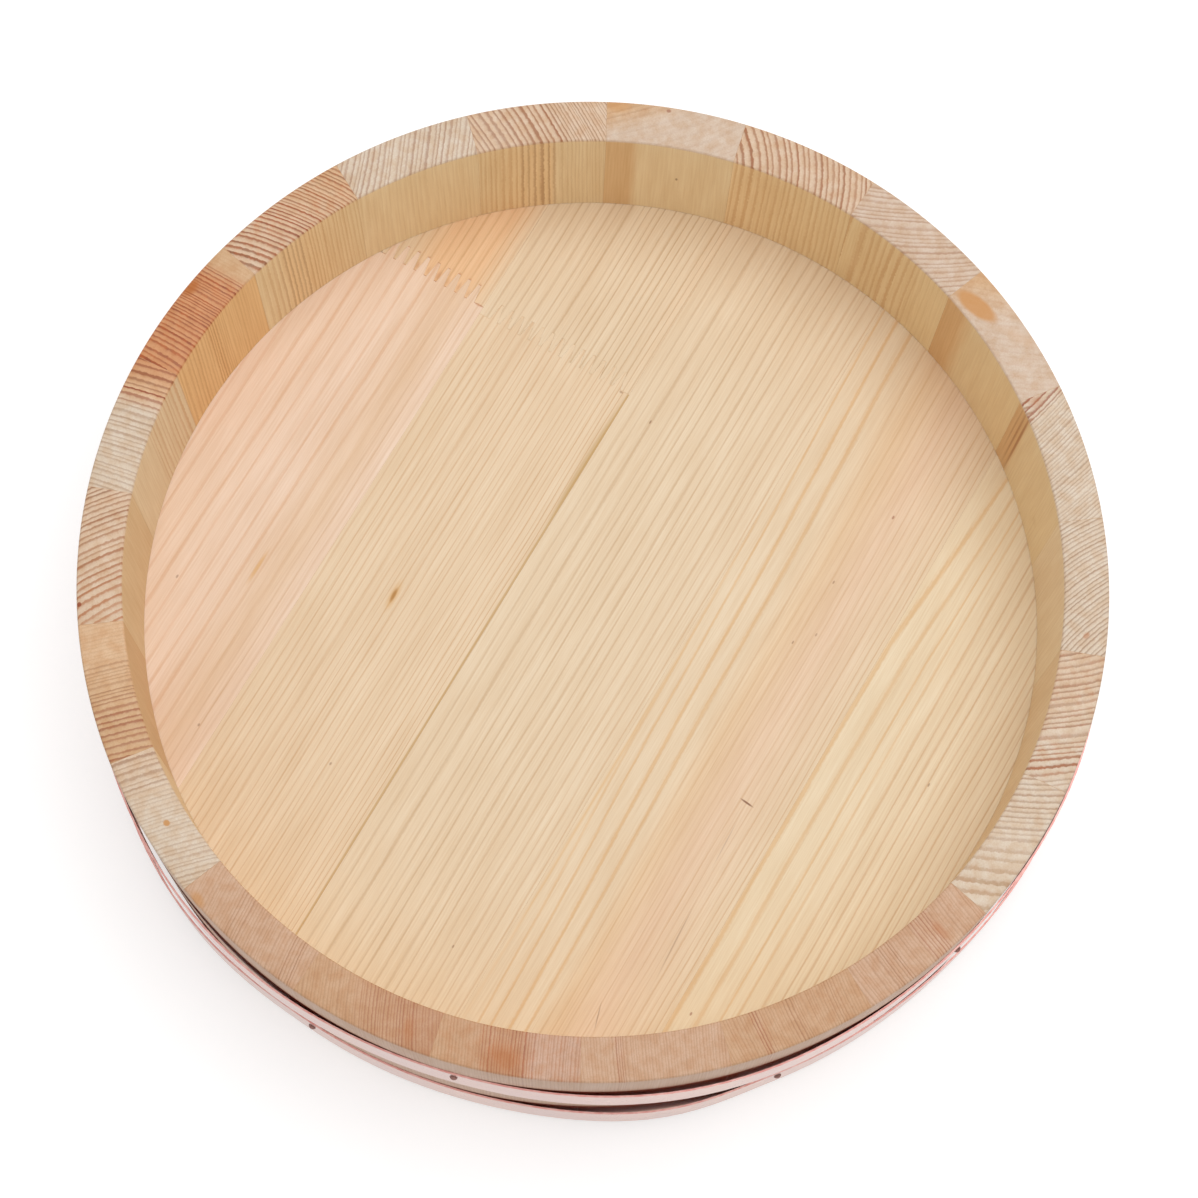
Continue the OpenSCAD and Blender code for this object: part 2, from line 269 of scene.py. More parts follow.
def stave_walls(tree, here, board, pale, dark, strength, season, warmth, inner, inner_lines):
    """A stave's walls are cut along the fibres, and its two ends across them. The inner wall is
    yellower than the end grain, with its own bands of tone. The outer wall is greyer, with faint
    lines, and red under each hoop: partly the copper's stain on the wood, partly painted red light
    that bounces between the copper and the wood in the gap behind the hoop."""
    wall_edge = 22
    height = add(tree, "ShaderNodeSeparateXYZ", {0: here}, out="Z")
    below_rim = add(tree, "ShaderNodeMapRange", {
        "Value": height, "From Min": 76.8 * mm, "From Max": 77.6 * mm, "To Min": 1.0, "To Max": 0.0})
    above_foot = add(tree, "ShaderNodeMapRange", {
        "Value": height, "From Min": 0.2 * mm, "From Max": 1.2 * mm})
    wall = add(tree, "ShaderNodeMath", {0: below_rim, 1: above_foot}, operation="MULTIPLY")
    end = add(tree, "ShaderNodeMath", {0: 1.0, 1: wall}, operation="SUBTRACT")
    pale, dark = resin_in_end_grain(tree, board, season, end, pale, dark, strength, warmth)

    # The inner wall turns into the outer one within the board, where nobody sees it.
    in_board = add(tree, "ShaderNodeSeparateXYZ", {0: board}).node.outputs
    outer = add(tree, "ShaderNodeMapRange", {"Value": in_board["Y"], "From Min": -3.0, "From Max": 3.0})
    outer = add(tree, "ShaderNodeMath", {0: outer, 1: wall}, operation="MULTIPLY")
    inside = add(tree, "ShaderNodeMath", {0: wall, 1: outer}, operation="SUBTRACT")
    face = add(tree, "ShaderNodeMapRange", {
        "Value": in_board["X"], "From Min": -wall_edge, "From Max": wall_edge})
    inner_pale = add(tree, "ShaderNodeValToRGB", {0: face}, stops=[
        ((x + wall_edge) / (2 * wall_edge), linear(wood_tones[tone])) for x, tone in inner])
    inner_dark = add(tree, "ShaderNodeValToRGB", {0: face}, stops=[
        ((x + wall_edge) / (2 * wall_edge), linear(wood_tones[tone])[:3] + [line])
        for x, tone, line in inner_lines])

    # Under each hoop the outer wall is painted red: partly the copper's stain, partly painted red light
    # bounced between the copper and the wood in the gap. It fades out within 0.4 mm at its edges.
    hoop_feet = (5.6, 40)
    hoop_width = 18
    red_band_fades = 0.4
    wall_height = 80
    red_band_edges = ((0, 0), (red_band_fades, 1), (hoop_width - red_band_fades, 1), (hoop_width, 0))
    up = add(tree, "ShaderNodeMath", {0: height, 1: 1 / (wall_height * mm)}, operation="MULTIPLY")
    copper_stain_and_bounce = add(tree, "ShaderNodeValToRGB", {0: up}, stops=[
        ((foot + edge) / wall_height, level) for foot in hoop_feet for edge, level in red_band_edges])
    copper_stain_and_bounce = add(tree, "ShaderNodeMath", {0: copper_stain_and_bounce, 1: 0.8}, operation="MULTIPLY")
    outer_pale = add(tree, "ShaderNodeMix", {
        0: copper_stain_and_bounce, 6: linear(wood_tones["outside"]), 7: linear("#c8562e")}, out=2, data_type="RGBA")

    pale = add(tree, "ShaderNodeMix", {0: inside, 6: pale, 7: inner_pale}, out=2, data_type="RGBA")
    pale = add(tree, "ShaderNodeMix", {0: outer, 6: pale, 7: outer_pale}, out=2, data_type="RGBA")
    dark = add(tree, "ShaderNodeMix", {0: inside, 6: dark, 7: inner_dark}, out=2, data_type="RGBA")
    strength = add(tree, "ShaderNodeMix", {
        0: inside, 2: strength, 3: inner_dark.node.outputs["Alpha"]})
    fainter = add(tree, "ShaderNodeMapRange", {"Value": outer, "To Min": 1.0, "To Max": 0.35})
    strength = add(tree, "ShaderNodeMath", {0: strength, 1: fainter}, operation="MULTIPLY")
    return pale, dark, strength


def stain(tree, board, wood, middle, centre, radii, angles, tone, strength, edge):
    """A knot, a drop of resin or a stain: an ellipsoid in the board's frame, whose tone fades out
    over the outer part of it that edge gives."""
    spot = add(tree, "ShaderNodeMapping", {
        "Vector": board, "Location": (centre[0] - middle, centre[1], centre[2]),
        "Rotation": [math.radians(a) for a in angles], "Scale": radii}, vector_type="TEXTURE")
    spot = add(tree, "ShaderNodeVectorMath", {0: spot}, out="Value", operation="LENGTH")
    spot = add(tree, "ShaderNodeMapRange", {
        "Value": spot, "From Min": 1 - edge, "From Max": 1.0, "To Min": strength, "To Max": 0.0},
        interpolation_type="SMOOTHSTEP")
    return add(tree, "ShaderNodeMix", {0: spot, 6: wood, 7: linear(wood_tones[tone])}, out=2,
               data_type="RGBA")


def pine(name, place, turn, tip, reach, spacing, ground, lines, lean=0, pith=400, middle=0,
         marks=(), sway=None, late_share=0.4, wobble=0.4, warmth=0.2, inner=None, inner_lines=None):
    """Planed pine: pale and satin, with a line of darker, smoother late wood for each year. Its
    fibres run along z of the board's own frame, which is in mm and stands at place, tipped and
    turned, and x runs across the board. The lists give places across it, and middle is its middle.
    Growth rings are arcs round the pith, which lies so many mm to the left of the board, or to the
    right where it is negative, and lean is how far they lean over at mid thickness. spacing gives
    how far apart they are, ground the pale wood, and lines the late wood and how strong it is.
    late_share is the part of a year that it takes, and wobble how ragged it is. sway is how the
    grain bends aside. Staves have the pale wood and the lines of their inner wall too, and warmth is
    how much resin reddens their end grain. Each name has its own stretch of the noise."""
    material = bpy.data.materials.new(name)
    tree = new_tree(material)
    slant = math.radians(lean)
    side = 1 if pith > 0 else -1
    seed = sum(ord(letter) * (n + 3) for n, letter in enumerate(name)) % 97

    def across(x):
        return min(1, max(0, ((x - middle) * math.cos(slant) + reach) / (2 * reach)))

    # The grain wanders by up to 1.2 mm, once in about 33 mm across the board and 80 mm along it.
    here = add(tree, "ShaderNodeTexCoord", out="Object")
    board = add(tree, "ShaderNodeMapping", {
        "Vector": here, "Location": place, "Rotation": (math.radians(tip), 0, math.radians(turn)),
        "Scale": (mm, mm, mm)}, vector_type="TEXTURE")
    slow = add(tree, "ShaderNodeMapping", {
        "Vector": board, "Location": (seed, 0, 0), "Scale": (0.03, 0.03, 0.012)})
    drift = add(tree, "ShaderNodeTexNoise", {"Vector": slow, "Scale": 1.0, "Detail": 1.5}, out="Color")
    drift = add(tree, "ShaderNodeVectorMath", {0: drift, 1: (0.5, 0.5, 0.5)}, operation="SUBTRACT")
    grain = add(tree, "ShaderNodeVectorMath", {0: drift, 1: (2.4, 2.4, 0), 2: board},
                operation="MULTIPLY_ADD")
    if sway:
        grain = bend_grain(tree, board, grain, middle, sway)

    ring = add(tree, "ShaderNodeMapping", {
        "Vector": grain, "Scale": (1, 1, 0),
        "Location": (pith * math.cos(slant), pith * math.sin(slant), 0)})
    ring = add(tree, "ShaderNodeVectorMath", {0: ring}, out="Value", operation="LENGTH")
    ring = add(tree, "ShaderNodeMath", {0: ring, 1: side, 2: -pith}, operation="MULTIPLY_ADD")
    span = add(tree, "ShaderNodeMapRange", {"Value": ring, "From Min": -reach, "From Max": reach})
    rings = rings_across(spacing, reach, middle, slant)
    season, late = year_of_growth(tree, board, span, rings, side, seed, late_share, wobble)
    dark = add(tree, "ShaderNodeValToRGB", {0: span}, stops=[
        (across(x), linear(wood_tones[tone])[:3] + [line]) for x, tone, line in lines])
    strength = dark.node.outputs["Alpha"]
    pale = add(tree, "ShaderNodeValToRGB", {0: span}, stops=[
        (across(x), linear(wood_tones[tone])) for x, tone in ground])
    if inner:
        pale, dark, strength = stave_walls(tree, here, board, pale, dark, strength, season, warmth,
                                           inner, inner_lines)
    late = add(tree, "ShaderNodeMath", {0: late, 1: strength}, operation="MULTIPLY")

    # Clouds of tone are about 8 mm wide and 50 mm long. Single fibres are too fine to show, so
    # they are drawn as strands 0.6 mm wide and 20 mm long.
    cloud = add(tree, "ShaderNodeMapping", {
        "Vector": board, "Location": (0, seed, 0), "Scale": (0.12, 0.12, 0.02)})
    cloud = add(tree, "ShaderNodeTexNoise", {"Vector": cloud, "Scale": 1.0, "Detail": 2.0})
    cloud = add(tree, "ShaderNodeValToRGB", {0: cloud},
                stops=[(0.3, linear("#f8f4ef")), (0.7, linear("#ffffff"))])
    fibre = add(tree, "ShaderNodeMapping", {"Vector": board, "Scale": (1.8, 1.8, 0.05)})
    fibre = add(tree, "ShaderNodeTexNoise", {"Vector": fibre, "Scale": 1.0, "Detail": 3.0})
    strand = add(tree, "ShaderNodeValToRGB", {0: fibre},
                 stops=[(0.3, linear("#f6f0e8")), (0.65, linear("#ffffff"))])
    wood = add(tree, "ShaderNodeMix", {0: late, 6: pale, 7: dark}, out=2, data_type="RGBA")
    wood = add(tree, "ShaderNodeMix", {0: 1.0, 6: wood, 7: cloud}, out=2, data_type="RGBA",
               blend_type="MULTIPLY")
    wood = add(tree, "ShaderNodeMix", {0: 1.0, 6: wood, 7: strand}, out=2, data_type="RGBA",
               blend_type="MULTIPLY")
    for mark in marks:
        wood = stain(tree, board, wood, middle, *mark)

    # The plane leaves the hard late wood standing a little, and smoother than the early wood.
    relief = add(tree, "ShaderNodeMath", {0: late, 1: 0.6, 2: fibre}, operation="MULTIPLY_ADD")
    relief = add(tree, "ShaderNodeBump", {"Height": relief, "Strength": 0.25, "Distance": 0.1 * mm})
    sheen = add(tree, "ShaderNodeMapRange", {"Value": late, "To Min": 0.6, "To Max": 0.48})
    surface = add(tree, "ShaderNodeBsdfPrincipled", {
        "Base Color": wood, "Roughness": sheen, "Normal": relief})
    add(tree, "ShaderNodeOutputMaterial", {"Surface": surface})
    return material


# Each board as its end grain shows it, from left to right as seen from inside the tub: the lean and
# the pith of its rings, their spacing, the pale wood and the dark lines. Then come its marks, and
# the tones and lines of its inner wall. A mark is its middle and its reach in mm, each across the
# board, outwards and up, how it is turned, its tone and strength, and how much of it fades.
stave_boards = [
    dict(lean=28, pith=150, warmth=0.1, spacing=[(-18.5, 1.8), (-17, 1.15)], ground=[(0, "pearl")],
         lines=[(-18, "red", 1.0), (-16.5, "grey", 0.5), (24, "grey", 0.5)],
         marks=[((-14.6, -7.3, -22), (0.9, 2, 40), (0, 0, 0), "rust", 0.75, 0.6),
                ((-16.8, -7.3, -22), (0.9, 2, 40), (0, 0, 0), "rust", 0.7, 0.6),
                ((-18.9, -7.3, -22), (0.8, 2, 40), (0, 0, 0), "rust", 0.75, 0.6),
                ((-20.8, -7.3, -22), (0.7, 2, 40), (0, 0, 0), "rust", 0.75, 0.6),
                ((-20, -4.2, 0), (3.4, 3.6, 3), (0, 0, 20), "orange", 0.35, 0.8),
                ((10.5, -7, -30), (3, 2, 4), (0, 0, 0), "olive line", 0.3, 1)],
         inner=[(-15, "bark"), (-13, "peach")], inner_lines=[(0, "olive line", 0.06)]),
    dict(lean=-40, pith=200, warmth=0.8, spacing=[(0, 2.0)],
         ground=[(-22, "tan"), (-6, "blush"), (22, "blush")],
         lines=[(0, "grey", 0.1)],
         marks=[((-14, -2.8, 0), (9.6, 3.8, 14), (0, 0, 18), "resin", 0.85, 0.4),
                ((3, 3.5, 0), (12, 2.6, 12), (0, 0, 30), "clay", 0.35, 0.8)],
         inner=[(-22, "bark"), (-14, "bark"), (-8, "peach"), (22, "olive")],
         inner_lines=[(0, "olive line", 0.06)]),
    dict(lean=-49, pith=120, warmth=0.1, spacing=[(0, 1.7)], ground=[(0, "blush")],
         lines=[(0, "rust", 0.47)],
         inner=[(0, "olive")],
         inner_lines=[(-22, "honey line", 0.5), (6, "honey line", 0.4), (12, "olive line", 0.12)]),
    dict(lean=26, pith=57, spacing=[(-22, 2.4), (22, 1.7)], ground=[(0, "rose")],
         lines=[(-22, "rust", 0.9), (22, "rust", 0.8)],
         inner=[(-22, "honey"), (22, "olive")],
         inner_lines=[(-22, "honey line", 0.45), (22, "honey line", 0.3)]),
    dict(lean=-60, pith=200, warmth=0.4, spacing=[(0, 2.2)], ground=[(-22, "tan"), (-6, "blush")],
         lines=[(-22, "grey", 0.3), (-8, "grey", 0.1)],
         marks=[((-20, 4.5, 0), (6, 3.4, 20), (0, 0, 0), "resin", 0.5, 0.7),
                ((-2.7, 5.5, 0), (1, 0.8, 4), (0, 0, 0), "red", 0.6, 0.5),
                ((3.1, -7, -22), (0.6, 2, 1.2), (0, 0, 0), "knot", 0.6, 0.6)],
         inner=[(-13, "tawny"), (-10, "straw")], inner_lines=[(0, "olive line", 0.05)]),
    dict(lean=25, pith=150, warmth=0.1, spacing=[(-22, 2.0), (2, 2.1), (9, 1.05), (22, 1.0)],
         ground=[(0, "rose")],
         lines=[(-22, "mauve", 0.65), (-11, "mauve", 0.65), (-8, "rust", 0.9), (4, "rust", 0.9),
                (8, "brown", 0.68), (22, "brown", 0.6)],
         inner=[(-22, "peach"), (-3, "honey"), (3, "honey"), (5, "straw")],
         inner_lines=[(-22, "honey line", 0.3), (-8, "honey line", 0.35), (-6, "bark line", 0.5),
                      (4, "bark line", 0.62), (5.5, "olive line", 0.25)]),
    dict(lean=-30, pith=200, warmth=0.1, spacing=[(0, 1.6)], ground=[(0, "pearl")],
         lines=[(0, "mauve", 0.58)],
         inner=[(0, "straw")], inner_lines=[(0, "olive line", 0.16)]),
    dict(lean=28, pith=80, late_share=0.46, warmth=0.6, spacing=[(-22, 2.3), (2, 1.2), (22, 1.4)],
         ground=[(-22, "rose"), (22, "apricot")],
         lines=[(-22, "brown", 0.95), (0, "red", 0.98), (10, "rust", 0.98), (22, "brown", 0.88)],
         inner=[(-12, "straw"), (-8, "honey"), (22, "peach")],
         inner_lines=[(-22, "olive line", 0.3), (-12, "honey line", 0.35), (-10, "bark line", 0.5),
                      (-2, "bark line", 0.5), (0, "honey line", 0.45), (22, "honey line", 0.3)]),
    dict(lean=3, pith=160, late_share=0.46, warmth=0.9,
         spacing=[(-22, 2.2), (-6, 1.5), (0, 1.1), (22, 1.3)], ground=[(12, "amber"), (18, "tan")],
         lines=[(-22, "red", 1.0), (6, "red", 1.0), (15, "red", 0.9), (17, "brown", 0.1),
                (22, "brown", 0.1)],
         marks=[((6, 5.5, 0), (5.5, 2.8, 10), (0, 0, 0), "orange", 0.8, 0.8)],
         inner=[(0, "ochre")],
         inner_lines=[(-22, "honey line", 0.45), (-4, "honey line", 0.5), (-3, "honey line", 0.75),
                      (1, "honey line", 0.75), (3, "honey line", 0.35), (22, "honey line", 0.15)]),
    dict(lean=0, pith=300, warmth=0.15, spacing=[(-22, 1.6), (-1, 1.6), (3, 2.0), (22, 2.2)],
         ground=[(-22, "pearl"), (6, "pearl"), (12, "apricot"), (23, "amber")],
         lines=[(-22, "grey", 0.45), (6, "grey", 0.55), (9, "red", 1.0), (13, "red", 1.0),
                (15, "brown", 0.8), (23, "red", 0.9)],
         inner=[(0, "pale dun")],
         inner_lines=[(-22, "olive line", 0.4), (-20, "olive line", 0.12), (-3, "olive line", 0.15),
                      (0, "honey line", 0.4), (22, "honey line", 0.5)]),
    dict(lean=27, pith=80, spacing=[(-22, 2.5), (0, 2.2), (22, 1.5)],
         ground=[(-22, "cream"), (22, "rose")],
         lines=[(-22, "orange", 0.8), (22, "brown", 0.8)],
         marks=[((-16.5, 5.5, 0), (1, 0.9, 6), (0, 0, 0), "red", 0.9, 0.4)],
         inner=[(0, "fawn")], inner_lines=[(0, "olive line", 0.08)]),
    dict(lean=0, pith=250, spacing=[(-22, 2.2), (-8, 2.0), (0, 1.3), (22, 1.3)],
         ground=[(-10, "tan"), (12, "apricot")],
         lines=[(-22, "red", 0.75), (-6, "red", 0.8), (0, "brown", 0.55), (8, "brown", 0.4),
                (10, "brown", 0.15), (22, "brown", 0.15)],
         inner=[(0, "toast")], inner_lines=[(0, "olive line", 0.06)]),
    dict(lean=-15, pith=200, warmth=0.1,
         spacing=[(-22, 1.4), (-10, 1.6), (0, 1.1), (12, 1.8), (22, 2.0)],
         ground=[(0, "pearl"), (20, "cream")],
         lines=[(-22, "grey", 0.45), (-14, "brown", 0.4), (-6, "grey", 0.32), (8, "grey", 0.32),
                (11, "brown", 0.5), (22, "brown", 0.6)],
         marks=[((-2.3, -0.3, 0), (1.3, 1.2, 5), (0, 0, 30), "resin", 0.9, 0.4)],
         inner=[(0, "dun")], inner_lines=[(0, "honey line", 0.15)]),
    dict(lean=18, pith=200, spacing=[(0, 1.05)], ground=[(0, "sand grey")],
         lines=[(-20, "brown", 0.3), (-19, "brown", 0.6), (-14.5, "brown", 0.55), (-13.5, "brown", 0.3),
                (1, "brown", 0.3), (2, "brown", 0.5), (7, "brown", 0.45), (8, "brown", 0.25)],
         marks=[((18, 5, 0), (4, 2.6, 10), (0, 0, -20), "resin", 0.5, 0.7)],
         inner=[(0, "olive")], inner_lines=[(0, "olive line", 0.2)]),
    dict(lean=22, pith=150, spacing=[(0, 1.0)], ground=[(-18, "russet"), (12, "clay")],
         lines=[(-17, "red", 0.35), (-16, "red", 0.6), (-9, "red", 0.6), (-8, "red", 0.3),
                (-6.5, "red", 0.55), (4, "red", 0.5), (6, "brown", 0.3)],
         marks=[((-14, 1, 0), (2.6, 6.5, 10), (0, 0, 20), "orange", 0.35, 0.8)],
         inner=[(0, "olive")], inner_lines=[(0, "olive line", 0.2)]),
    dict(lean=4, pith=260, warmth=0.6, spacing=[(0, 1.0)],
         ground=[(-22, "pink"), (-8, "pink"), (-3, "russet"), (22, "clay")],
         lines=[(-20, "mauve", 0.5), (-9, "mauve", 0.5), (-6, "red", 0.7), (8, "red", 0.6),
                (10, "brown", 0.35), (22, "brown", 0.35)],
         marks=[((1, 2, 0), (10, 7, 14), (0, 0, -10), "orange", 0.5, 0.9)],
         inner=[(0, "olive")], inner_lines=[(0, "olive line", 0.2)]),
    dict(lean=0, pith=300, spacing=[(0, 0.95)], ground=[(0, "sand grey")],
         lines=[(-22, "brown", 0.3), (8, "brown", 0.3), (10, "red", 0.75), (11.6, "red", 0.75),
                (12.4, "brown", 0.3)],
         inner=[(0, "olive")], inner_lines=[(0, "olive line", 0.2)]),
    dict(lean=3, pith=220, warmth=0.3, spacing=[(0, 1.0)], ground=[(0, "clay")],
         lines=[(-16.5, "brown", 0.3), (-15.8, "brown", 0.5), (-13.2, "brown", 0.5),
                (-12.4, "brown", 0.3), (-3.5, "brown", 0.3), (-2.8, "brown", 0.5), (1.4, "brown", 0.5),
                (2, "brown", 0.3), (8.6, "brown", 0.3), (9.2, "red", 0.7), (12.2, "red", 0.7),
                (13, "brown", 0.3), (16, "brown", 0.3), (16.8, "brown", 0.55), (17.6, "brown", 0.3)],
         inner=[(0, "olive")], inner_lines=[(0, "olive line", 0.2)]),
    dict(lean=-2, pith=240, spacing=[(0, 1.1)], ground=[(0, "sand grey")],
         lines=[(-9.4, "brown", 0.3), (-8.6, "red", 0.65), (-2.3, "red", 0.65), (-1.4, "brown", 0.3),
                (5.2, "brown", 0.3), (6, "brown", 0.6), (12.3, "brown", 0.55), (13, "brown", 0.3)],
         marks=[((-9, 0.5, 0), (2.2, 5.5, 12), (0, 0, 0), "orange", 0.45, 0.8)],
         inner=[(0, "olive")], inner_lines=[(0, "olive line", 0.2)]),
    dict(lean=30, pith=160, spacing=[(-22, 1.8), (-5, 1.9), (6, 3.6), (22, 4.2)], ground=[(0, "pearl")],
         lines=[(-22, "grey", 0.6), (0, "grey", 0.45), (5, "sand", 0.5), (22, "sand", 0.75)],
         inner=[(0, "dun")], inner_lines=[(0, "honey line", 0.35)]),
    dict(lean=27, pith=120, warmth=0.4, spacing=[(0, 2.0)], ground=[(-10, "cream"), (16, "pearl")],
         lines=[(-22, "brown", 0.65), (8, "brown", 0.65), (11, "rust", 0.95), (18, "rust", 0.9),
                (22, "grey", 0.5)],
         inner=[(0, "dun")], inner_lines=[(0, "honey line", 0.15)]),
    dict(lean=36, pith=-80, warmth=0.1, spacing=[(0, 1.35)], ground=[(0, "pearl")],
         lines=[(0, "grey", 0.65)],
         marks=[((16.5, -0.5, 0), (1.8, 1.2, 5), (0, 0, -45), "orange", 0.5, 0.6)],
         inner=[(0, "pale peach")], inner_lines=[(0, "olive line", 0.08)]),
]

stave_pitch = 360 / len(stave_boards)
first_joint = 10.25
wall_middle = 157.75
rim_height = 78
wall_lean = 3.45
stave_reach = 27
for n, board in enumerate(stave_boards):
    facing = first_joint + stave_pitch * (n + 0.5)
    wood = pine(f"pine stave {n + 1:02d}", place=place_at(facing, wall_middle, 0, rim_height),
                turn=facing - 90, tip=-wall_lean, reach=stave_reach, **board)
    finish_solid(f"stave_{n + 1:02d}", wood)


# The glue between the staves: a dried film of wood glue in each of the 22 joints, squeezed thin and
# trimmed flush when the ring was turned. It is cut out round the floor's groove, as the staves are.
glue_film = 0.08


def slab(solid, outline, push):
    """Adds a flat slab to a bmesh: an outline of places in metres, drawn out along push."""
    face = solid.faces.new([solid.verts.new(place) for place in outline])
    drawn = bmesh.ops.extrude_face_region(solid, geom=[face])["geom"]
    far_side = [part for part in drawn if isinstance(part, bmesh.types.BMVert)]
    bmesh.ops.translate(solid, verts=far_side, vec=push)


def dried_glue(name, dark, pale):
    """Wood glue that has dried in a joint: yellowish brown, a little glossier than the wood round
    it, and darker in patches about 8 mm wide, where the wood has taken up less of it."""
    material = bpy.data.materials.new(name)
    tree = new_tree(material)
    here = add(tree, "ShaderNodeTexCoord", out="Object")
    soak = add(tree, "ShaderNodeTexNoise", {"Vector": here, "Scale": 120.0, "Detail": 2.0})
    colour = add(tree, "ShaderNodeValToRGB", {0: soak},
                 stops=[(0.35, linear(dark)), (0.65, linear(pale))])
    surface = add(tree, "ShaderNodeBsdfPrincipled", {"Base Color": colour, "Roughness": 0.45})
    add(tree, "ShaderNodeOutputMaterial", {"Surface": surface})
    return material


# The film's outline, as distances from the tub's middle and heights. It goes up the outside, over
# the two rounded edges of the rim and down the inside, a hair within the wood.
film_outline = [(146.6, 0.03), (159.5, 0.03), (161.09, 1.52), (164.92, 77.0), (164.79, 77.48),
                (164.44, 77.84), (163.94, 77.98), (151.44, 77.98), (150.94, 77.84), (150.59, 77.48),
                (150.46, 77.0), (147.47, 34.17), (152.0, 34.17), (152.0, 26.33), (146.92, 26.33),
                (145.2, 1.52)]
solid = bmesh.new()
for n in range(len(stave_boards)):
    facing = first_joint + stave_pitch * n
    slab(solid, [place_at(facing, out, -glue_film / 2, up) for out, up in film_outline],
         push=place_at(facing, 0, glue_film, 0))
bmesh.ops.recalc_face_normals(solid, faces=solid.faces)
joint_glue = dried_glue("dried wood glue", "#b98a5c", "#d0a87c")
stave_glue = new_piece("stave_glue", solid, joint_glue)
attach(stave_glue, "root")


# The floor: five strips of planed pine glued edge to edge into a round panel, its thinned edge
# held in the groove of the staves. The two strips on the left are each lengthened by a finger
# joint. The grain runs along the strips as fine straight lines.
wood_tones.update({
    "floor white": "#f3e1c2", "floor pale": "#f0dbbd", "floor pink": "#f0d3b6",
    "floor straw": "#f1dabb", "floor peach": "#f8dfca", "floor tan": "#eed1ad",
    "floor deep": "#f7d0a6", "line": "#cfa069", "rosy line": "#dba064", "amber line": "#dba24c",
    "brown line": "#bf9660", "glue": "#c29a5c", "soaked": "#c88a60",
})
floor_top = 34
strips_turn = -26.4

